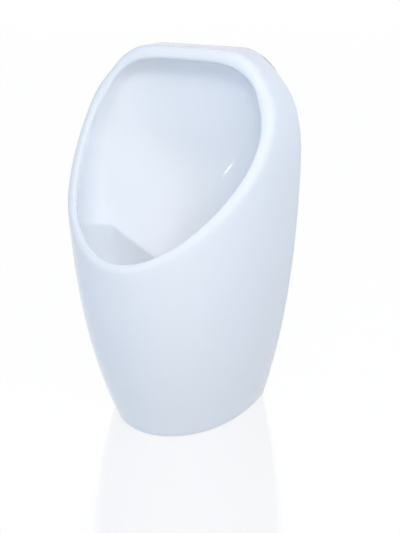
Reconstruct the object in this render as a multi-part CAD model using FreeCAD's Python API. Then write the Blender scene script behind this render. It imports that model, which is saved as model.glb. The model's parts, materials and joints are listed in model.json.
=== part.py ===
import FreeCAD, Part
import math
import os
from FreeCAD import Vector

# Wall hung waterless urinal: a glazed china body, a drop-in odour trap in a
# plastic housing, the waste outlet and the hidden wall fixings.
# Millimetres. Heights are measured up from the china's base and depths out
# from the wall. The export lowers everything, so that the origin ends up at
# the waste outlet's axis in the wall plane: +X is the viewer's right, +Y
# points into the wall and +Z is up.

# Outside of the china
height = 620.0
base_half_width = 128.2
widest_half_width = 180.6
widest_height = 464.7
top_half_width = 121.9
base_depth = 205.4
fullest_depth = 280.4
fullest_height = 439.5
top_depth = 240.0
width_power = 2.39
shoulder_power = 1.65
depth_power = 2.5
crown_power = 2.0
plan_power = 2.35
top_round = 68.2
base_round = 4.0

# Scooped mouth: a cubic arc in side view, hollow towards the wall
lip_height = 327.2
rim_top_depth = 56.6
scoop_low_hollow = 11.4
scoop_high_hollow = 74.6
rim_side = 19.1
rim_front = 11.7
rim_top = 18.6
rim_outer_round = 14.0
rim_inner_round = 4.0

# Bowl, ramp and drain well
bowl_plan_power = 2.48
bowl_top_round = 62.4
bowl_back = 30.0
bowl_dish_share = 0.6
bowl_dish_power = 2.8
bowl_corner_round = 36.0
ramp_start_height = 450.0
ramp_edge_height = 281.0
ramp_power = 1.9
ramp_edge_round = 8.0
trough_slope = 0.57
trough_softness = 12.0
step_depth = 120.0
well_floor = 235.0
well_floor_round = 10.0

# China walls behind and below the bowl
skirt_wall = 12.0
bowl_wall = 12.0
floor_wall = 14.0

# Drain seat in the well floor
trap_depth = 186.0
drain_hole_radius = 51.0
seat_radius = 55.5
seat_recess = 4.0

# Trap housing
gasket_thickness = 2.0
lower_gasket_thickness = 3.0
lower_gasket_radius = 60.0
housing_flange = 3.5
housing_bore = 46.0
housing_wall = 2.8
housing_floor_height = 128.0
sump_taper = 16.0
locknut_height = 12.0
locknut_radius = 60.0
locknut_lugs = 8
locknut_lug_width = 9.0
locknut_lug_depth = 3.5

# Waste outlet
outlet_height = 95.0
pipe_radius = 25.0
pipe_wall = 2.4
pipe_in_wall = 60.0
pipe_overlap = 20.0
pipe_collar_radius = 30.0
pipe_collar_width = 4.0
stub_end_depth = 112.0
stub_wall = 3.0
coupling_length = 26.0
coupling_wall = 5.0
coupling_lip = 3.0
coupling_ribs = 12
coupling_rib_radius = 2.0
cone_seal_width = 5.0

# Trap cartridge
cup_clearance = 2.0
cup_wall = 2.2
cover_radius = 53.0
cover_thickness = 3.5
weir_height = 190.0
standpipe_radius = 15.0
standpipe_wall = 2.5
standpipe_tail = 8.0
bell_gap = 6.0
bell_wall = 2.0
bell_brim = 2.5
bell_brim_radius = 28.0
bell_skirt_height = 146.0
bell_post_radius = 6.0
inlet_count = 12
inlet_radius = 33.0
inlet_slot_length = 6.0
inlet_slot_width = 4.0
seat_lip_drop = 10.0
seat_lip_width = 1.5
seat_lip_inner = 28.0
seat_lip_outer = 38.0
o_ring_section = 0.95
o_ring_bite = 0.4
o_ring_heights = (150.0, 218.0)

# Float valve
float_inner = 26.5
float_outer = 39.5
float_height = 12.0
float_seal_inset = 0.5
float_seal_thickness = 2.0
float_travel = 7.0

# Strainer
strainer_radius = 45.0
strainer_thickness = 2.5
strainer_rise = 8.0
strainer_foot_height = 3.0
strainer_foot_radius = 3.5
strainer_feet = 3
strainer_peg_radius = 4.0
strainer_peg_depth = 2.0
strainer_slots = 20
strainer_slot_width = 3.0
strainer_slot_from = 16.0
strainer_slot_to = 38.0

# Wall brackets
hanger_spacing = 190.0
hanger_width = 46.0
hanger_plate = 4.0
hanger_height = 500.0
hanger_drop = 58.0
hanger_hook = 12.0
hanger_screw_drop = 16.0
hanger_screw_pitch = 28.0
ledge_thickness = 7.0
ledge_web = 12.0
ledge_rise = 2.0
ledge_side = 5.0
pad_thickness = 1.5

# Lower lugs
lug_spacing = 180.0
lug_height = 68.0
lug_half_height = 20.0
lug_half_width = 17.0
lug_thickness = 14.0
bush_wall = 1.5
bush_flange = 1.6

# Screws and plugs
screw_radius = 4.0
hanger_screw_length = 70.0
lug_screw_length = 80.0
screw_point = 8.0
screw_point_radius = 0.5
screw_head_across = 13.0
screw_head_height = 5.5
washer_radius = 9.0
washer_thickness = 1.6
plug_radius = 5.0
plug_length = 60.0
plug_slit = 1.2
plug_slit_from = 18.0
plug_slit_length = 36.0

# Clearances
running_gap = 0.3
sliding_gap = 0.1

# Construction margins: how far tools run past what they cut
overrun = 20.0
side_clear = 200.0
front_clear = 420.0
back_reach = 120.0
tool_reach = 1.15
scoop_overrun = 0.15
section_points = 16
skin_sections = 10
ramp_sections = 12
ramp_points = 8
search_steps = 20
touch = 0.1

# Derived places
seat_height = well_floor - seat_recess
flange_top = seat_height + gasket_thickness + housing_flange
floor_underside = well_floor - floor_wall
housing_radius = housing_bore + housing_wall
stub_radius = pipe_radius + sliding_gap + stub_wall
cup_radius = housing_bore - cup_clearance
cover_under = flange_top + running_gap
cover_top = cover_under + cover_thickness
seat_lip_height = cover_under - seat_lip_drop
float_top = seat_lip_height - running_gap
float_bottom = float_top - float_seal_thickness - float_height
bell_top = float_bottom - float_travel - running_gap
bell_radius = standpipe_radius + bell_gap + bell_wall
hook_depth = 2 * hanger_plate + ledge_thickness + 2 * running_gap
hanger_screw_heights = (hanger_height - hanger_screw_drop,
                        hanger_height - hanger_screw_drop - hanger_screw_pitch)


def half_width(z):
    if z <= widest_height:
        fall = (widest_height - z) / widest_height
        return widest_half_width - (widest_half_width - base_half_width) * fall ** width_power
    rise = (z - widest_height) / (height - widest_height)
    return widest_half_width - (widest_half_width - top_half_width) * rise ** shoulder_power


def front_depth(z):
    if z <= fullest_height:
        fall = (fullest_height - z) / fullest_height
        return fullest_depth - (fullest_depth - base_depth) * fall ** depth_power
    rise = (z - fullest_height) / (height - fullest_height)
    return fullest_depth - (fullest_depth - top_depth) * rise ** crown_power


def oval(z, width, depth, power):
    """Horizontal section of the china, closed behind the wall plane."""
    points = []
    for i in range(section_points):
        a = math.pi * i / section_points
        points.append(Vector(width * math.cos(a), -depth * math.sin(a) ** (2 / power), z))
    for i in range(section_points):
        a = math.pi * i / section_points
        points.append(Vector(-width * math.cos(a), back_reach * math.sin(a), z))
    curve = Part.BSplineCurve()
    curve.interpolate(Points=points, PeriodicFlag=True)
    return Part.Wire(curve.toShape())


def skin(side_inset, front_inset, top_inset, bottom, power, top_radius):
    """The outer form, drawn in by the given insets, from bottom up to its rounded top."""
    top = height - top_inset
    wires = []
    for i in range(skin_sections + 1):
        z = bottom + (top - bottom) * i / skin_sections
        wires.append(oval(z, half_width(z) - side_inset, front_depth(z) - front_inset, power))
    form = Part.makeLoft(wires, True, False)
    edges = [e for e in form.Edges if e.BoundBox.ZMin > top - touch]
    return form.makeFillet(top_radius, edges)


def slab(depth_from, depth_to, z_from, z_to, half=side_clear, x=0.0):
    return Part.makeBox(2 * half, depth_to - depth_from, z_to - z_from,
                        Vector(x - half, -depth_to, z_from))


def scoop_curve():
    """The scoop in side view: a cubic from the lip to the top, run on past both ends."""
    lip = Vector(0, -front_depth(lip_height), lip_height)
    top = Vector(0, -rim_top_depth, height)
    chord = top - lip
    inward = Vector(0, chord.z, -chord.y).normalize()
    poles = [lip, lip + chord / 3 + inward * scoop_low_hollow,
             lip + chord * 2 / 3 + inward * scoop_high_hollow, top]

    def run_on(steps):
        points = poles
        for t in steps:
            points = [p * (1 - t) + q * t for p, q in zip(points, points[1:])]
        return points[0]

    start, end = -scoop_overrun, 1 + scoop_overrun
    curve = Part.BezierCurve()
    curve.setPoles([run_on([start] * (3 - i) + [end] * i) for i in range(4)])
    return curve


def scoop_depth(z):
    """Depth of the scoop on the centre line at a height between the lip and the top."""
    curve = scoop_curve()
    low, high = 0.0, 1.0
    for _ in range(search_steps):
        middle = (low + high) / 2
        if curve.value(middle).z < z:
            low = middle
        else:
            high = middle
    return -curve.value(low).y


def scoop_cutter():
    curve = scoop_curve()
    low, high = curve.getPole(1), curve.getPole(4)
    far_low = Vector(0, -front_clear, low.z)
    far_high = Vector(0, -front_clear, high.z)
    sides = Part.makePolygon([high, far_high, far_low, low])
    face = Part.Face(Part.Wire([curve.toShape()] + sides.Edges))
    face.translate(Vector(-side_clear, 0, 0))
    return face.extrude(Vector(2 * side_clear, 0, 0))


def sample_point(edge):
    """A point on the edge, away from its ends and its middle."""
    return edge.valueAt(edge.getParameterByLength(edge.Length * 0.37))


def scoop_edges(shape):
    """Edges that lie on the scooped rim."""
    curve = scoop_curve()
    found = []
    for e in shape.Edges:
        p = sample_point(e)
        side_view = Vector(0, p.y, p.z)
        if curve.value(curve.parameter(side_view)).distanceToPoint(side_view) < touch:
            found.append(e)
    return found


def ramp_profile(z):
    """Depth of the bowl's back on the centre line."""
    if z >= ramp_start_height:
        return bowl_back
    fall = (ramp_start_height - z) / (ramp_start_height - ramp_edge_height)
    return bowl_back + (step_depth - bowl_back) * fall ** ramp_power


def back_depths(places, z):
    """Depths of the bowl's back at a height: a dish above that runs down into a trough."""
    side = half_width(min(z, height)) - rim_side
    room = bowl_dish_share * (scoop_depth(min(z, height)) - bowl_back)
    depths = []
    for x in places:
        level = z - math.hypot(trough_slope * x, trough_softness) + trough_softness
        rise = (level - ramp_edge_height) / (ramp_start_height - ramp_edge_height)
        dish = room * min(1.0, max(0.0, rise))
        depths.append(ramp_profile(level) + dish * (abs(x) / side) ** bowl_dish_power)
    return depths


def bowl_space(grow):
    """All that lies in front of the bowl's back, the ramp and the step."""
    wires = []
    low = ramp_edge_height - overrun
    for i in range(ramp_sections + 1):
        z = low + (height + overrun - low) * i / ramp_sections
        side = tool_reach * half_width(min(z, height))
        places = [side * j / ramp_points for j in range(-ramp_points, ramp_points + 1)]
        points = [Vector(x, grow - t, z) for x, t in zip(places, back_depths(places, z))]
        curve = Part.BSplineCurve()
        curve.interpolate(points)
        right = Vector(side, -front_clear, z)
        left = Vector(-side, -front_clear, z)
        sides = Part.makePolygon([points[-1], right, left, points[0]])
        wires.append(Part.Wire([curve.toShape()] + sides.Edges))
    upper = Part.makeLoft(wires, True, False)
    step_top = ramp_edge_height
    while back_depths([tool_reach * half_width(step_top)], step_top)[0] > step_depth:
        step_top += 1.0
    return upper.fuse(slab(step_depth - grow, front_clear, 0, step_top))


def is_crease(edge):
    """True for the edge between the ramp and the step."""
    b = edge.BoundBox
    in_step = abs(b.YMax + step_depth) < touch and abs(b.YMin + step_depth) < touch
    return in_step and b.XLength > base_half_width and b.ZLength > touch


def bowl_cavity():
    """The bowl and drain well as one tool, with its corners rounded."""
    hollow = skin(rim_side, rim_front, rim_top, well_floor, bowl_plan_power, bowl_top_round)
    hollow = hollow.common(bowl_space(0))
    corners = [e for e in hollow.Edges if -e.BoundBox.YMin < step_depth + overrun
               and e.BoundBox.ZMax > well_floor + touch and not is_crease(e)]
    hollow = hollow.makeFillet(bowl_corner_round, corners)
    hollow = hollow.makeFillet(ramp_edge_round, [e for e in hollow.Edges if is_crease(e)])
    floor = [e for e in hollow.Edges if e.BoundBox.ZMax < well_floor + touch]
    return hollow.makeFillet(well_floor_round, floor)


def rear_hollow():
    """The room behind and below the bowl, open to the wall and at the base."""
    inside = skin(skirt_wall, skirt_wall, skirt_wall, -overrun, plan_power, top_round - skirt_wall)
    bowl = skin(rim_side - bowl_wall, rim_front - bowl_wall, rim_top - bowl_wall,
                well_floor - floor_wall, bowl_plan_power, bowl_top_round + bowl_wall)
    return inside.cut(bowl.common(bowl_space(bowl_wall)))


def turned(outline):
    """Solid of revolution about the trap's upright axis from (radius, height) points."""
    points = [Vector(r, 0, z) for r, z in outline]
    face = Part.Face(Part.makePolygon(points + points[:1]))
    solid = face.revolve(Vector(0, 0, 0), Vector(0, 0, 1), 360)
    return solid.translated(Vector(0, -trap_depth, 0))


def turned_outlet(outline):
    """Solid of revolution about the waste outlet's axis from (radius, depth) points."""
    points = [Vector(r, -depth, 0) for r, depth in outline]
    face = Part.Face(Part.makePolygon(points + points[:1]))
    solid = face.revolve(Vector(0, 0, 0), Vector(0, 1, 0), 360)
    return solid.translated(Vector(0, 0, outlet_height))


def ring(inner, outer, z_from, z_to):
    return turned([(inner, z_from), (outer, z_from), (outer, z_to), (inner, z_to)])


def around(shape, count, centre, axis):
    copies = []
    for i in range(count):
        copy = shape.copy()
        copy.rotate(centre, axis, 360.0 * i / count)
        copies.append(copy)
    return copies


def around_trap(shape, count):
    return around(shape, count, Vector(0, -trap_depth, 0), Vector(0, 0, 1))


def rounded_slot(length, width, z_from, z_to, radius):
    """Upright slot along the radius, centred at the given distance from the trap's axis."""
    half = (length - width) / 2
    block = Part.makeBox(2 * half, width, z_to - z_from, Vector(radius - half, -width / 2, z_from))
    ends = [Part.makeCylinder(width / 2, z_to - z_from, Vector(radius + s * half, 0, z_from))
            for s in (-1, 1)]
    return block.fuse(ends).removeSplitter().translated(Vector(0, -trap_depth, 0))


def hanger_x():
    return (-hanger_spacing / 2, hanger_spacing / 2)


def lug_x():
    return (-lug_spacing / 2, lug_spacing / 2)


def hook_ledge(x):
    """China ledge that drops behind the bracket's upturned hook, on a web out from the bowl."""
    depth = hanger_plate + running_gap
    half = hanger_width / 2 + ledge_side
    web_low = hanger_height + hanger_hook + ledge_rise
    lip = slab(depth, depth + ledge_thickness, hanger_height + pad_thickness, web_low + ledge_web,
               half, x)
    web = slab(depth, step_depth, web_low, web_low + ledge_web, half, x)
    return lip.fuse(web)


def lower_lug(x):
    """China lug inside the skirt, with the hole for a lower screw."""
    side = math.copysign(1, x)
    low = lug_height - lug_half_height
    high = lug_height + lug_half_height
    inner = abs(x) - lug_half_width
    outer = half_width(low) - skirt_wall / 2
    middle = side * (inner + outer) / 2
    block = slab(0, lug_thickness, low, high, (outer - inner) / 2, middle)
    hole = Part.makeCylinder(screw_radius + sliding_gap + bush_wall, lug_thickness + 2,
                             Vector(x, 1, lug_height), Vector(0, -1, 0))
    return block.cut(hole)


def bowl_body():
    cavity = bowl_cavity()
    body = skin(0, 0, 0, -overrun, plan_power, top_round)
    body = body.common(slab(0, front_clear, 0, height + overrun))
    body = body.cut(rear_hollow()).cut(cavity).cut(scoop_cutter())

    def on_cavity(edge):
        return cavity.distToShape(Part.Vertex(sample_point(edge)))[0] < touch

    body = body.makeFillet(rim_outer_round, [e for e in scoop_edges(body) if not on_cavity(e)])
    body = body.makeFillet(rim_inner_round, [e for e in scoop_edges(body) if on_cavity(e)])
    foot = [e for e in body.Edges if e.BoundBox.ZMax < touch
            and -e.BoundBox.YMin > base_depth - skirt_wall / 2]
    body = body.makeFillet(base_round, foot)
    seat = ring(0, seat_radius, seat_height, well_floor + overrun)
    hole = ring(0, drain_hole_radius, floor_underside - overrun, well_floor)
    body = body.cut(seat.fuse(hole))
    middle_of_wall = bowl_space(bowl_wall / 2)
    ledges = [hook_ledge(x).cut(middle_of_wall) for x in hanger_x()]
    return body.fuse(ledges + [lower_lug(x) for x in lug_x()])


def trap_housing():
    sump_low = outlet_height - stub_radius
    sump_high = housing_floor_height - sump_taper
    sump_bore = stub_radius - housing_wall
    outside = turned([(0, sump_low), (stub_radius, sump_low), (stub_radius, sump_high),
                      (housing_radius, housing_floor_height), (housing_radius, flange_top - housing_flange),
                      (seat_radius - running_gap, flange_top - housing_flange),
                      (seat_radius - running_gap, flange_top), (0, flange_top)])
    inside = turned([(0, sump_low + housing_wall), (sump_bore, sump_low + housing_wall),
                     (sump_bore, sump_high), (housing_bore, housing_floor_height),
                     (housing_bore, flange_top + 1), (0, flange_top + 1)])
    stub = turned_outlet([(0, stub_end_depth), (stub_radius, stub_end_depth),
                          (stub_radius, trap_depth), (0, trap_depth)])
    socket_end = stub_end_depth + pipe_overlap + sliding_gap
    bore = turned_outlet([(0, stub_end_depth - 1), (pipe_radius + sliding_gap, stub_end_depth - 1),
                          (pipe_radius + sliding_gap, socket_end),
                          (pipe_radius - pipe_wall, socket_end), (pipe_radius - pipe_wall, trap_depth),
                          (0, trap_depth)])
    return outside.fuse(stub).cut(inside.fuse(bore))


def housing_upper_gasket():
    return ring(housing_radius + running_gap, seat_radius - running_gap,
                seat_height, seat_height + gasket_thickness)


def housing_lower_gasket():
    return ring(housing_radius + running_gap, lower_gasket_radius,
                floor_underside - lower_gasket_thickness, floor_underside)


def housing_locknut():
    top = floor_underside - lower_gasket_thickness
    low = top - locknut_height
    nut = ring(housing_radius + sliding_gap, locknut_radius, low, top)
    lug = Part.makeBox(locknut_lug_depth + 1, locknut_lug_width, locknut_height,
                       Vector(locknut_radius - 1, -locknut_lug_width / 2 - trap_depth, low))
    return nut.fuse(around_trap(lug, locknut_lugs)).removeSplitter()


def outlet_pipe():
    inner = pipe_radius - pipe_wall
    start = stub_end_depth + pipe_overlap
    return turned_outlet([(inner, start), (pipe_radius, start), (pipe_radius, pipe_collar_width),
                          (pipe_collar_radius, pipe_collar_width), (pipe_collar_radius, 0),
                          (pipe_radius, 0), (pipe_radius, -pipe_in_wall), (inner, -pipe_in_wall)])


def outlet_cone_seal():
    near = stub_end_depth - cone_seal_width
    return turned_outlet([(pipe_radius, near), (stub_radius, near), (stub_radius, stub_end_depth - 2),
                          (pipe_radius + 1, stub_end_depth), (pipe_radius, stub_end_depth)])


def outlet_coupling_nut():
    lip_face = stub_end_depth - cone_seal_width
    start = lip_face - coupling_lip
    end = start + coupling_length
    bore = stub_radius + sliding_gap
    outer = bore + coupling_wall
    nut = turned_outlet([(pipe_radius + sliding_gap, start), (outer, start), (outer, end), (bore, end),
                         (bore, lip_face), (pipe_radius + sliding_gap, lip_face)])
    rib = Part.makeCylinder(coupling_rib_radius, coupling_length,
                            Vector(outer, -start, outlet_height), Vector(0, -1, 0))
    return nut.fuse(around(rib, coupling_ribs, Vector(0, 0, outlet_height), Vector(0, 1, 0)))


def o_ring(height_on_cup):
    return Part.makeTorus(cup_radius - o_ring_bite + o_ring_section, o_ring_section,
                          Vector(0, -trap_depth, height_on_cup))


def cartridge_o_rings():
    return Part.makeCompound([o_ring(z) for z in o_ring_heights])


def cartridge_cup():
    low = housing_floor_height + running_gap
    bore = cup_radius - cup_wall
    pipe_bore = standpipe_radius - standpipe_wall
    cup = turned([(pipe_bore, low - standpipe_tail), (standpipe_radius, low - standpipe_tail),
                  (standpipe_radius, low), (cup_radius, low), (cup_radius, cover_under),
                  (bore, cover_under), (bore, low + cup_wall), (standpipe_radius, low + cup_wall),
                  (standpipe_radius, weir_height), (pipe_bore, weir_height)])
    return cup.cut([o_ring(z) for z in o_ring_heights])


def trap_bell():
    inner = bell_radius - bell_wall
    roof = bell_top - bell_brim
    return turned([(0, roof), (inner, roof), (inner, bell_skirt_height), (bell_radius, bell_skirt_height),
                   (bell_radius, roof), (bell_brim_radius, roof), (bell_brim_radius, bell_top),
                   (bell_post_radius, bell_top), (bell_post_radius, cover_under), (0, cover_under)])


def cartridge_cover():
    cover = ring(0, cover_radius, cover_under, cover_top)
    rim = [e for e in cover.Edges if e.BoundBox.ZMin > cover_top - 0.1]
    cover = cover.makeFillet(cover_thickness / 2, rim)
    lips = [ring(seat_lip_inner, seat_lip_inner + seat_lip_width, seat_lip_height, cover_under),
            ring(seat_lip_outer - seat_lip_width, seat_lip_outer, seat_lip_height, cover_under)]
    slot = rounded_slot(inlet_slot_length, inlet_slot_width, cover_under - 1, cover_top + 1, inlet_radius)
    socket = ring(0, strainer_peg_radius + running_gap, cover_top - strainer_peg_depth - running_gap,
                  cover_top + 1)
    return cover.fuse(lips).cut(around_trap(slot, inlet_count)).cut(socket)


def float_ring():
    ring_top = float_top - float_seal_thickness
    body = ring(float_inner, float_outer, float_bottom, ring_top)
    low = [e for e in body.Edges if e.BoundBox.ZMax < float_bottom + 0.1]
    return body.makeFillet(float_height / 6, low)


def float_seal():
    return ring(float_inner + float_seal_inset, float_outer - float_seal_inset,
                float_top - float_seal_thickness, float_top)


def drain_strainer():
    base = cover_top + running_gap
    rim = base + strainer_foot_height
    sphere = (strainer_radius ** 2 + strainer_rise ** 2) / (2 * strainer_rise)
    centre = Vector(0, -trap_depth, rim + strainer_rise - sphere)
    dome = Part.makeSphere(sphere + strainer_thickness, centre).cut(Part.makeSphere(sphere, centre))
    dome = dome.common(ring(0, strainer_radius, rim, rim + 2 * strainer_rise))
    slot = rounded_slot(strainer_slot_to - strainer_slot_from, strainer_slot_width, rim - 1,
                        rim + 2 * strainer_rise, (strainer_slot_from + strainer_slot_to) / 2)
    dome = dome.cut(around_trap(slot, strainer_slots))
    foot = Part.makeCylinder(strainer_foot_radius, rim + strainer_thickness - base,
                             Vector(strainer_radius - strainer_foot_radius - 1, -trap_depth, base))
    peg = ring(0, strainer_peg_radius, cover_top - strainer_peg_depth, rim + strainer_rise + 1)
    return dome.fuse(around_trap(foot, strainer_feet) + [peg])


def hanger_bracket(x):
    """Wall plate with an arm and an upturned hook that carries the china's ledge."""
    half = hanger_width / 2
    plate = slab(0, hanger_plate, hanger_height - hanger_drop, hanger_height, half, x)
    arm = slab(0, hook_depth, hanger_height - hanger_plate, hanger_height, half, x)
    hook = slab(hook_depth - hanger_plate, hook_depth, hanger_height - hanger_plate,
                hanger_height + hanger_hook, half, x)
    bracket = plate.fuse([arm, hook]).removeSplitter()
    holes = [Part.makeCylinder(screw_radius + running_gap, hanger_plate + 2, Vector(x, 1, z),
                               Vector(0, -1, 0)) for z in hanger_screw_heights]
    bracket = bracket.cut(holes)
    corners = [e for e in bracket.Edges if abs(e.BoundBox.YLength - hanger_plate) < 0.1
               and e.BoundBox.ZLength < 0.1 and e.BoundBox.XLength < 0.1]
    return bracket.makeFillet(hanger_plate, corners)


def hanger_bracket_left():
    return hanger_bracket(hanger_x()[0])


def hanger_bracket_right():
    return hanger_bracket(hanger_x()[1])


def hanger_pads():
    depth = hanger_plate + running_gap
    return Part.makeCompound([slab(depth, depth + ledge_thickness, hanger_height,
                                   hanger_height + pad_thickness, hanger_width / 2, x)
                              for x in hanger_x()])


def screw(x, z, seat_depth, length):
    """Hex wood screw whose head bears on a washer or bush at the given depth."""
    across = screw_head_across / math.sqrt(3)
    corners = [Vector(x + across * math.cos(math.pi * i / 3), -seat_depth,
                      z + across * math.sin(math.pi * i / 3)) for i in range(7)]
    head = Part.Face(Part.makePolygon(corners)).extrude(Vector(0, -screw_head_height, 0))
    shank = Part.makeCylinder(screw_radius, length - screw_point, Vector(x, -seat_depth, z),
                              Vector(0, 1, 0))
    point = Part.makeCone(screw_radius, screw_point_radius, screw_point,
                          Vector(x, length - screw_point - seat_depth, z), Vector(0, 1, 0))
    return head.fuse([shank, point])


def hanger_places():
    return [(x, z) for x in hanger_x() for z in hanger_screw_heights]


def hanger_screws():
    seat = hanger_plate + washer_thickness
    return Part.makeCompound([screw(x, z, seat, hanger_screw_length) for x, z in hanger_places()])


def hanger_washers():
    washers = []
    for x, z in hanger_places():
        disc = Part.makeCylinder(washer_radius, washer_thickness, Vector(x, -hanger_plate, z),
                                 Vector(0, -1, 0))
        hole = Part.makeCylinder(screw_radius + sliding_gap, washer_thickness + 2,
                                 Vector(x, 1 - hanger_plate, z), Vector(0, -1, 0))
        washers.append(disc.cut(hole))
    return Part.makeCompound(washers)


def wall_plug(x, z):
    sleeve = Part.makeCylinder(plug_radius, plug_length, Vector(x, 0, z), Vector(0, 1, 0))
    bore = Part.makeCylinder(screw_radius, plug_length + 2, Vector(x, -1, z), Vector(0, 1, 0))
    slit = Part.makeBox(4 * plug_radius, plug_slit_length, plug_slit,
                        Vector(x - 2 * plug_radius, plug_slit_from, z - plug_slit / 2))
    return sleeve.cut([bore, slit])


def hanger_plugs():
    return Part.makeCompound([wall_plug(x, z) for x, z in hanger_places()])


def lug_plugs():
    return Part.makeCompound([wall_plug(x, lug_height) for x in lug_x()])


def lug_screws():
    seat = lug_thickness + bush_flange
    return Part.makeCompound([screw(x, lug_height, seat, lug_screw_length) for x in lug_x()])


def lug_bushes():
    bushes = []
    for x in lug_x():
        sleeve = Part.makeCylinder(screw_radius + bush_wall, lug_thickness, Vector(x, 0, lug_height),
                                   Vector(0, -1, 0))
        flange = Part.makeCylinder(washer_radius, bush_flange, Vector(x, -lug_thickness, lug_height),
                                   Vector(0, -1, 0))
        bore = Part.makeCylinder(screw_radius + sliding_gap, lug_thickness + bush_flange + 2,
                                 Vector(x, 1, lug_height), Vector(0, -1, 0))
        bushes.append(sleeve.fuse(flange).cut(bore))
    return Part.makeCompound(bushes)


pieces = [bowl_body, trap_housing, housing_upper_gasket, housing_lower_gasket, housing_locknut,
          outlet_pipe, outlet_cone_seal, outlet_coupling_nut, cartridge_cup, cartridge_cover,
          trap_bell, cartridge_o_rings, float_ring, float_seal, drain_strainer,
          hanger_bracket_left, hanger_bracket_right, hanger_pads, hanger_screws, hanger_washers,
          hanger_plugs, lug_screws, lug_bushes, lug_plugs]

os.makedirs("parts", exist_ok=True)
for piece in pieces:
    shape = piece().translated(Vector(0, 0, -outlet_height))
    shape.exportStep("parts/" + piece.__name__ + ".step")
    print(piece.__name__, len(shape.Solids), shape.isValid(), round(shape.Volume))
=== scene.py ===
import bpy
import json
import math
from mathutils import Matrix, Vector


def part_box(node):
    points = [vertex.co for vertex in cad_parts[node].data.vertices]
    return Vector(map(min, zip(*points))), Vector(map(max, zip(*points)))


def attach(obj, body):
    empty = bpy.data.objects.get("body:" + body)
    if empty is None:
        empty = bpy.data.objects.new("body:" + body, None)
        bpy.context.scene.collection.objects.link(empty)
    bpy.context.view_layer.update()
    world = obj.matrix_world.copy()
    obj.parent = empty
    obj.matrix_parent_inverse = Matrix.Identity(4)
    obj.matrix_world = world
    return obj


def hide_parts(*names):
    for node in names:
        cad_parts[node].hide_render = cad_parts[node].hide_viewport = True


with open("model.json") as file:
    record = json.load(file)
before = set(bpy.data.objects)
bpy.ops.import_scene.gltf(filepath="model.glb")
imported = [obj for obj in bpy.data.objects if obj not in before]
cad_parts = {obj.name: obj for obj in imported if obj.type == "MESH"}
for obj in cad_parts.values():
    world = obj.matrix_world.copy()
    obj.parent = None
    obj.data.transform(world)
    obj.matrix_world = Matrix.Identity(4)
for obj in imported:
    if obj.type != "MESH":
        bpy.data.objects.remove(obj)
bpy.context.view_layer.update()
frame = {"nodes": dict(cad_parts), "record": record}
nodes = frame["nodes"]
mm = 0.001

# The camera: its azimuth and pitch, its distance across the floor from the axis through the origin,
# how far it stands to the side of that line, and its height over the floor. The focal length is in
# pixels of the 400 x 533 picture.
camera_azimuth = math.radians(28.0)
camera_pitch = math.radians(22.47)
camera_distance = 1.28527
camera_sideways = -0.00159
camera_height = 0.76262
focal_pixels = 772.01
picture_height = 533
sensor_size = 36.0

floor_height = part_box("bowl_body")[0].z
floor_size = 24.0


# ---------------------------------------------------------------- finishes

class Value:
    """A number, colour or vector that changes over a surface. Sums on it add nodes to its finish."""

    def __init__(self, finish, socket):
        self.finish = finish
        self.socket = socket

    def math(self, operation, first, second, clamp=False):
        settings = {"operation": operation, "use_clamp": clamp}
        return self.finish.node("ShaderNodeMath", settings, {0: first, 1: second})

    def __add__(self, other):
        return self.math("ADD", self, other)

    __radd__ = __add__

    def __sub__(self, other):
        return self.math("SUBTRACT", self, other)

    def __rsub__(self, other):
        return self.math("SUBTRACT", other, self)

    def __mul__(self, other):
        return self.math("MULTIPLY", self, other)

    __rmul__ = __mul__

    def clamped(self):
        return self.math("ADD", self, 0.0, clamp=True)

    def above(self, level):
        return self.math("GREATER_THAN", self, level)


class Finish:
    """A procedural material made around one Principled shader."""

    def __init__(self, name, **constants):
        self.material = bpy.data.materials.new(name)
        self.material.use_nodes = True
        self.tree = self.material.node_tree
        self.shader = self.tree.nodes["Principled BSDF"]
        self.coat_of(**constants)
        self.place = self.node("ShaderNodeTexCoord", output="Object")

    def node(self, kind, settings=None, sockets=None, output=0):
        """Adds a node: its settings first, then its sockets' values or links."""
        made = self.tree.nodes.new(kind)
        for key, value in (settings or {}).items():
            setattr(made, key, value)
        for key, value in (sockets or {}).items():
            self.put(made.inputs[key], value)
        return Value(self, made.outputs[output])

    def put(self, socket, value):
        if isinstance(value, Value):
            self.tree.links.new(value.socket, socket)
        else:
            socket.default_value = value

    def coat_of(self, **sockets):
        """Sets the shader's sockets, named with underscores for spaces."""
        for key, value in sockets.items():
            self.put(self.shader.inputs[key.replace("_", " ")], value)

    def noise(self, size, detail=2.0, roughness=0.5, place=None):
        """Cloudy noise from 0 to 1, whose lumps are about as wide as size, in metres."""
        sockets = {"Vector": place or self.place, "Scale": 1.0 / size, "Detail": detail,
                   "Roughness": roughness}
        return self.node("ShaderNodeTexNoise", None, sockets)

    def specks(self, size):
        """Distance to the nearest of many scattered points, from 0 at each point."""
        sockets = {"Vector": self.place, "Scale": 1.0 / size}
        return self.node("ShaderNodeTexVoronoi", {"feature": "F1"}, sockets, "Distance")

    def stretched(self, x, y, z):
        """Object coordinates scaled along each axis, for grain that runs one way."""
        return self.node("ShaderNodeMapping", None, {"Vector": self.place, "Scale": (x, y, z)})

    def part_of_place(self, axis):
        return self.node("ShaderNodeSeparateXYZ", None, {"Vector": self.place}, axis)

    def blend(self, share, first, second):
        """Colour that goes from first to second as share goes from 0 to 1."""
        sockets = {0: share, 6: first, 7: second}
        return self.node("ShaderNodeMix", {"data_type": "RGBA"}, sockets, 2)

    def bumped(self, height, depth, strength=1.0, under=None):
        """Normal of a relief that is depth metres deep where height goes from 0 to 1."""
        sockets = {"Height": height, "Distance": depth, "Strength": strength}
        if under:
            sockets["Normal"] = under
        return self.node("ShaderNodeBump", None, sockets)


def grey(level):
    return (level, level, level, 1.0)


def colour(red, green, blue):
    return (red, green, blue, 1.0)


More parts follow.
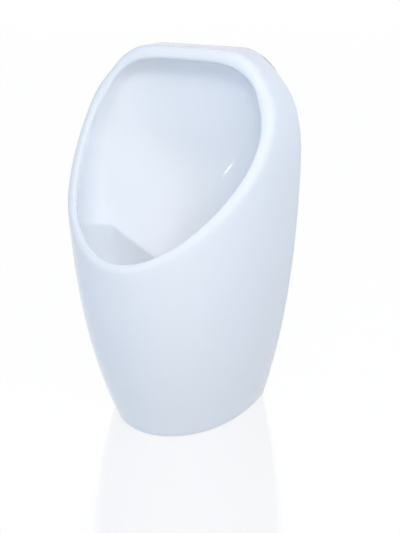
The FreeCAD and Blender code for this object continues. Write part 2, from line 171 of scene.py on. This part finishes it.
def glazed_china():
    """Cool white vitreous glaze over fireclay, which is bare on the wall face and matt on the foot."""
    finish = Finish("glazed_china", Coat_Weight=0.0)
    glaze_light = colour(0.868, 0.892, 0.925)
    glaze_deep = colour(0.850, 0.878, 0.918)
    clay_light = colour(0.80, 0.785, 0.75)
    clay_dark = colour(0.72, 0.70, 0.66)
    wall_band = 0.6 * mm
    foot_band = 1.0 * mm
    glaze_run = 50.0 * mm
    cloud = finish.noise(size=120 * mm, detail=3.0)
    glaze = finish.blend(cloud, glaze_deep, glaze_light)
    depth = finish.part_of_place("Y")
    height = finish.part_of_place("Z")
    wall_face = depth.above(-wall_band)
    foot = 1.0 - height.above(floor_height + foot_band)
    ragged = finish.noise(size=4 * mm)
    unglazed = (wall_face + foot).clamped()
    past_run = (height - floor_height - glaze_run * ragged).above(0.0)
    grit = finish.noise(size=0.6 * mm)
    clay = finish.blend(grit, clay_light, clay_dark)
    finish.coat_of(Base_Color=finish.blend(unglazed * past_run, glaze, clay))
    sheen = 0.035 + 0.03 * finish.noise(size=50 * mm)
    finish.coat_of(Roughness=sheen + 0.6 * unglazed, IOR=1.5)
    orange_peel = finish.bumped(finish.noise(size=18 * mm), depth=0.06 * mm, strength=0.5)
    finish.coat_of(Normal=finish.bumped(grit, depth=0.05 * mm, strength=0.15, under=orange_peel))
    return finish.material


def moulded(name, low, high, roughness):
    """Moulded plastic with a fine spark-eroded grain and faint flow marks."""
    finish = Finish(name)
    flow = finish.noise(size=30 * mm, detail=3.0, place=finish.stretched(1.0, 1.0, 0.4))
    finish.coat_of(Base_Color=finish.blend(flow, low, high))
    grain = finish.noise(size=0.8 * mm)
    finish.coat_of(Roughness=roughness + 0.12 * grain)
    finish.coat_of(Normal=finish.bumped(grain, depth=0.03 * mm, strength=0.6))
    return finish.material


def foam(name):
    """Closed-cell float foam with a skin of small cells."""
    finish = Finish(name)
    cells = finish.specks(size=1.2 * mm)
    finish.coat_of(Base_Color=finish.blend(cells, colour(0.62, 0.62, 0.58), colour(0.78, 0.77, 0.72)))
    finish.coat_of(Roughness=0.75)
    finish.coat_of(Normal=finish.bumped(cells, depth=0.2 * mm, strength=0.8))
    return finish.material


def rubber(name):
    """Black moulded rubber with a dusty bloom."""
    finish = Finish(name)
    bloom = finish.noise(size=9 * mm, detail=4.0)
    finish.coat_of(Base_Color=finish.blend(bloom, grey(0.012), grey(0.035)))
    finish.coat_of(Roughness=0.55 + 0.25 * bloom)
    finish.coat_of(Normal=finish.bumped(finish.noise(size=0.7 * mm), depth=0.04 * mm, strength=0.6))
    return finish.material


def brushed_steel(name):
    """Stainless steel with straight brush lines along Y."""
    finish = Finish(name, Metallic=1.0)
    along_y = finish.stretched(14.0, 0.5, 14.0)
    lines = finish.noise(size=4 * mm, detail=5.0, roughness=0.7, place=along_y)
    finish.coat_of(Base_Color=finish.blend(lines, grey(0.50), colour(0.66, 0.66, 0.65)))
    finish.coat_of(Roughness=0.22 + 0.16 * lines)
    finish.coat_of(Normal=finish.bumped(lines, depth=0.02 * mm, strength=0.5))
    return finish.material


def zinc_plate(name):
    """Bright zinc plate: cloudy, bluish, with small crystals and dull spots."""
    finish = Finish(name, Metallic=1.0)
    crystals = finish.specks(size=1.8 * mm)
    cloud = finish.noise(size=12 * mm, detail=3.0)
    finish.coat_of(Base_Color=finish.blend(cloud, colour(0.46, 0.48, 0.50), colour(0.64, 0.65, 0.66)))
    finish.coat_of(Roughness=0.25 + 0.15 * cloud + 0.08 * crystals)
    finish.coat_of(Normal=finish.bumped(crystals, depth=0.02 * mm, strength=0.5))
    return finish.material


# The two colours of each plastic that its flow marks run between, and its roughness.
plastics = {
    "housing_plastic": (grey(0.030), grey(0.045), 0.34),
    "pipe_plastic": (colour(0.60, 0.61, 0.62), colour(0.68, 0.69, 0.70), 0.30),
    "cartridge_plastic": (colour(0.36, 0.46, 0.54), colour(0.44, 0.53, 0.60), 0.28),
    "plug_nylon": (grey(0.33), grey(0.40), 0.38),
    "bush_nylon": (colour(0.74, 0.73, 0.68), colour(0.80, 0.79, 0.74), 0.40),
}

finishes = {
    "china": glazed_china(),
    "float_plastic": foam("float_plastic"),
    "seal_rubber": rubber("seal_rubber"),
    "strainer_steel": brushed_steel("strainer_steel"),
    "zinc_steel": zinc_plate("zinc_steel"),
}
for slot_name, look in plastics.items():
    finishes[slot_name] = moulded(slot_name, *look)


def dress_frame():
    """Gives every CAD node the finish that its material slot in the record names."""
    for part in frame["record"]["subparts"]:
        mesh = nodes[part["node"]].data
        mesh.materials.clear()
        mesh.materials.append(finishes[part["material_slot"]])


# ---------------------------------------------------------------- forms on top of the frame

# The china's top corners: the middle of each corner's arc is found between two half widths and
# within a drop from the top, and is drawn inwards and down. What is near it follows.
corner_inner = 114.0 * mm
corner_outer = 120.0 * mm
corner_drop = 15.0 * mm
corner_inward = 2.4 * mm
corner_down = 4.5 * mm
corner_reach = 76.0 * mm
china_merge = 0.002 * mm
china_smooth = 30.0

fitting_smooth = 35.0
fitting_merge = 0.01 * mm

housing_radius = 48.8 * mm
thread_pitch = 4.0 * mm
thread_turns = 6
thread_ridge = 0.9 * mm
thread_steps = 48

# A web's middle is given from the housing's axis and from the height where its cone ends.
cone_rise = 45.3 * mm
web_out = 31.0 * mm
web_below = 7.0 * mm
web_width = 8.0 * mm
web_thickness = 1.8 * mm
web_height = 14.0 * mm
web_lean_out = 11.5 * mm
web_lean_up = 13.0 * mm
web_bevel = 0.5 * mm
web_turns = [math.radians(-90.0 + step) for step in (-120, -60, 0, 60, 120)]


def alone(piece):
    """Leaves the piece as the only one selected."""
    bpy.ops.object.select_all(action="DESELECT")
    piece.select_set(True)
    bpy.context.view_layer.objects.active = piece


def opened(name):
    """Names the piece that was just added and opens its vertices for editing."""
    piece = bpy.context.object
    piece.name = name
    bpy.ops.object.mode_set(mode="EDIT")
    bpy.ops.mesh.select_mode(type="VERT")
    return piece


def pick(piece, passes):
    """Selects the vertices of the open piece whose place passes the test."""
    bpy.ops.mesh.select_all(action="DESELECT")
    bpy.ops.object.mode_set(mode="OBJECT")
    for corner in piece.data.vertices:
        corner.select = passes(corner.co)
    bpy.ops.object.mode_set(mode="EDIT")


def modified(piece, kind, **settings):
    """Adds a modifier and applies it."""
    made = piece.modifiers.new(kind.lower(), kind)
    for key, value in settings.items():
        setattr(made, key, value)
    bpy.ops.object.modifier_apply(modifier=made.name)


def settled(piece):
    """Turns the object's place into its mesh's place."""
    piece.select_set(True)
    bpy.ops.object.transform_apply(location=True, rotation=True, scale=True)


def copied_to(piece, place, turns):
    """Leaves one piece made of a copy at the place for each turn about Z."""
    copies = []
    for turn in turns:
        alone(piece)
        bpy.ops.object.duplicate()
        copy = bpy.context.object
        copy.rotation_euler.z = turn
        copy.location = place
        settled(copy)
        copies.append(copy)
    name = piece.name
    bpy.data.objects.remove(piece)
    for copy in copies:
        copy.select_set(True)
    bpy.context.view_layer.objects.active = copies[0]
    bpy.ops.object.join()
    joined = bpy.context.object
    joined.name = name
    return joined


def finished(piece, slot, smooth):
    """Smooths the piece, dresses it and fixes it to the urinal."""
    alone(piece)
    bpy.ops.object.shade_smooth_by_angle(angle=math.radians(smooth))
    piece.data.materials.clear()
    piece.data.materials.append(finishes[slot])
    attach(piece, "fixture")


def add_rounded_china():
    """The china again, with its two top corners drawn in to a larger radius."""
    alone(nodes["bowl_body"])
    bpy.ops.object.duplicate()
    piece = opened("rounded_china")
    bpy.ops.mesh.select_all(action="SELECT")
    bpy.ops.mesh.remove_doubles(threshold=china_merge)
    bpy.ops.mesh.normals_make_consistent(inside=False)
    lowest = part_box("bowl_body")[1].z - corner_drop
    for side in (1.0, -1.0):
        pick(piece, lambda place: corner_inner < side * place.x < corner_outer and place.z > lowest)
        bpy.ops.transform.translate(value=(-side * corner_inward, 0.0, -corner_down),
                                    use_proportional_edit=True, proportional_edit_falloff="SMOOTH",
                                    proportional_size=corner_reach)
    bpy.ops.object.mode_set(mode="OBJECT")
    finished(piece, "china", china_smooth)
    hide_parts("bowl_body")


def add_housing_thread():
    """Coarse moulded thread that runs on below the locknut."""
    low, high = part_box("housing_locknut")
    middle = (low + high) / 2
    bpy.ops.object.select_all(action="DESELECT")
    bpy.ops.mesh.primitive_circle_add(vertices=4, radius=thread_ridge, location=(housing_radius, 0, 0),
                                      rotation=(math.pi / 2, 0, 0))
    piece = bpy.context.object
    settled(piece)
    modified(piece, "SCREW", screw_offset=thread_pitch, iterations=thread_turns, steps=thread_steps,
             render_steps=thread_steps, use_merge_vertices=False)
    opened("housing_thread")
    bpy.ops.mesh.select_all(action="SELECT")
    bpy.ops.mesh.remove_doubles(threshold=fitting_merge)
    bpy.ops.mesh.fill_holes(sides=8)
    bpy.ops.mesh.normals_make_consistent(inside=False)
    bpy.ops.object.mode_set(mode="OBJECT")
    piece.location = (middle.x, middle.y, low.z - thread_pitch * thread_turns - thread_ridge)
    settled(piece)
    finished(piece, "housing_plastic", fitting_smooth)


def add_housing_webs():
    """Moulded webs that stiffen the housing's cone above its sump."""
    low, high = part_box("housing_locknut")
    cone_foot = (0.0, (low.y + high.y) / 2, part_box("trap_housing")[0].z + cone_rise)
    bpy.ops.object.select_all(action="DESELECT")
    bpy.ops.mesh.primitive_cube_add(size=1.0, location=(web_out, 0, -web_below),
                                    scale=(web_width, web_thickness, web_height))
    settled(bpy.context.object)
    piece = opened("housing_webs")
    pick(piece, lambda place: place.x > web_out and place.z > -web_below)
    bpy.ops.transform.translate(value=(web_lean_out, 0, web_lean_up))
    bpy.ops.object.mode_set(mode="OBJECT")
    modified(piece, "BEVEL", width=web_bevel, segments=2)
    piece = copied_to(piece, cone_foot, web_turns)
    finished(piece, "housing_plastic", fitting_smooth)


# ---------------------------------------------------------------- studio

lamp_distance = 2.8
softbox_size = 1.6
lamps_middle_depth = 0.15
lamps_middle_height = 0.25

# Soft lamps: name, angle around the urinal (0 is straight in front, and plus is the camera's side),
# angle above the floor, power in watts and tint. Mirror-like surfaces don't see them.
softboxes = [
    ("low_left", -65.0, 12.0, 10.9, (0.34, 0.63, 1.0)),
    ("low_front", -25.0, 12.0, 13.6, (0.83, 0.94, 1.0)),
    ("high_left", -65.0, 42.0, 5.1, (1.0, 0.69, 0.31)),
    ("high_front", 15.0, 42.0, 18.3, (1.0, 0.95, 0.90)),
    ("high_right", 55.0, 42.0, 38.3, (1.0, 0.985, 0.96)),
    ("side_right", 95.0, 42.0, 16.1, (0.81, 0.93, 1.0)),
    ("top_left", -60.0, 68.0, 2.8, (1.0, 0.70, 0.12)),
]

# A narrow strip that leaves the thin bright line low on the right of the bowl.
strip_place = (-1.94, -0.876, 0.677)
strip_width = 0.03
strip_length = 0.16
strip_power = 0.25

room_tint = colour(0.02, 0.36, 1.0)
room_strength = 0.17

# What the camera sees of the floor: a glow of pure white, and the rest mostly a mirror.
floor_glow = 1.01
floor_glow_share = 0.76
floor_mirror_share = 0.86
floor_mirror_blur = 0.12
floor_white = grey(0.86)
floor_roughness = 0.06

white_rays = ("Is Camera Ray", "Is Glossy Ray", "Is Transmission Ray")


def around(turn, rise):
    """Place of a lamp at a turn and a rise, in degrees, seen from the middle of the urinal."""
    turn, rise = math.radians(turn), math.radians(rise)
    across = math.sin(turn) * math.cos(rise) * lamp_distance
    away = math.cos(turn) * math.cos(rise) * lamp_distance
    return (across, -lamps_middle_depth - away, lamps_middle_height + math.sin(rise) * lamp_distance)


def lamp(name, place, width, length, power, tint):
    """Area lamp at place, turned towards the middle of the china."""
    bpy.ops.object.light_add(type="AREA", location=place)
    made = bpy.context.object
    made.name = name
    made.data.shape = "RECTANGLE"
    made.data.size = width
    made.data.size_y = length
    made.data.energy = power
    made.data.color = tint
    low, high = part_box("bowl_body")
    aim = made.location - (low + high) / 2
    made.rotation_euler = aim.to_track_quat("Z", "Y").to_euler()
    return made


def add_lamps():
    for name, turn, rise, power, tint in softboxes:
        made = lamp(name, around(turn, rise), softbox_size, softbox_size, power, tint)
        made.visible_glossy = False
        made.visible_camera = False
    lamp("side_glint", strip_place, strip_width, strip_length, strip_power, (1.0, 1.0, 1.0))


def add_floor():
    """Glossy white floor. The camera and mirror-like surfaces see it as nearly pure white."""
    bpy.ops.mesh.primitive_plane_add(size=floor_size, location=(0, 0, floor_height))
    floor = bpy.context.object
    floor.name = "studio_floor"
    finish = Finish("floor_gloss", Base_Color=floor_white, Roughness=floor_roughness)
    rays = finish.tree.nodes.new("ShaderNodeLightPath")
    camera, glossy, through = (Value(finish, rays.outputs[kind]) for kind in white_rays)
    seen = (camera + glossy + through).clamped()
    glow = finish.node("ShaderNodeEmission", None, {"Color": grey(1.0), "Strength": floor_glow})
    mirror = finish.node("ShaderNodeBsdfPrincipled", None,
                         {"Base Color": grey(1.0), "Metallic": floor_mirror_share,
                          "Roughness": floor_mirror_blur})
    plain = Value(finish, finish.shader.outputs[0])
    shown = finish.node("ShaderNodeMixShader", None, {0: floor_glow_share, 1: mirror, 2: glow})
    mixed = finish.node("ShaderNodeMixShader", None, {0: seen, 1: plain, 2: shown})
    finish.put(finish.tree.nodes["Material Output"].inputs["Surface"], mixed)
    floor.data.materials.append(finish.material)


def add_world():
    """Faint blue room light, which the camera and mirror-like surfaces see as white."""
    world = bpy.data.worlds.new("studio")
    bpy.context.scene.world = world
    world.use_nodes = True
    tree = world.node_tree
    room = tree.nodes["Background"]
    room.inputs["Color"].default_value = room_tint
    room.inputs["Strength"].default_value = room_strength
    white = tree.nodes.new("ShaderNodeBackground")
    white.inputs["Color"].default_value = grey(1.0)
    rays = tree.nodes.new("ShaderNodeLightPath")
    seen = rays.outputs[white_rays[0]]
    for kind in white_rays[1:]:
        total = tree.nodes.new("ShaderNodeMath")
        total.use_clamp = True
        tree.links.new(seen, total.inputs[0])
        tree.links.new(rays.outputs[kind], total.inputs[1])
        seen = total.outputs[0]
    choice = tree.nodes.new("ShaderNodeMixShader")
    tree.links.new(seen, choice.inputs[0])
    tree.links.new(room.outputs[0], choice.inputs[1])
    tree.links.new(white.outputs[0], choice.inputs[2])
    tree.links.new(choice.outputs[0], tree.nodes["World Output"].inputs["Surface"])


def add_camera():
    across = camera_distance * math.sin(camera_azimuth) + camera_sideways * math.cos(camera_azimuth)
    away = camera_distance * math.cos(camera_azimuth) - camera_sideways * math.sin(camera_azimuth)
    bpy.ops.object.camera_add(location=(across, -away, floor_height + camera_height),
                              rotation=(math.pi / 2 - camera_pitch, 0.0, camera_azimuth))
    camera = bpy.context.object
    camera.data.sensor_width = sensor_size
    camera.data.lens = focal_pixels * sensor_size / picture_height
    bpy.context.scene.camera = camera


dress_frame()
add_rounded_china()
add_housing_thread()
add_housing_webs()
add_floor()
add_world()
add_lamps()
add_camera()
bpy.context.scene.view_settings.view_transform = "Standard"
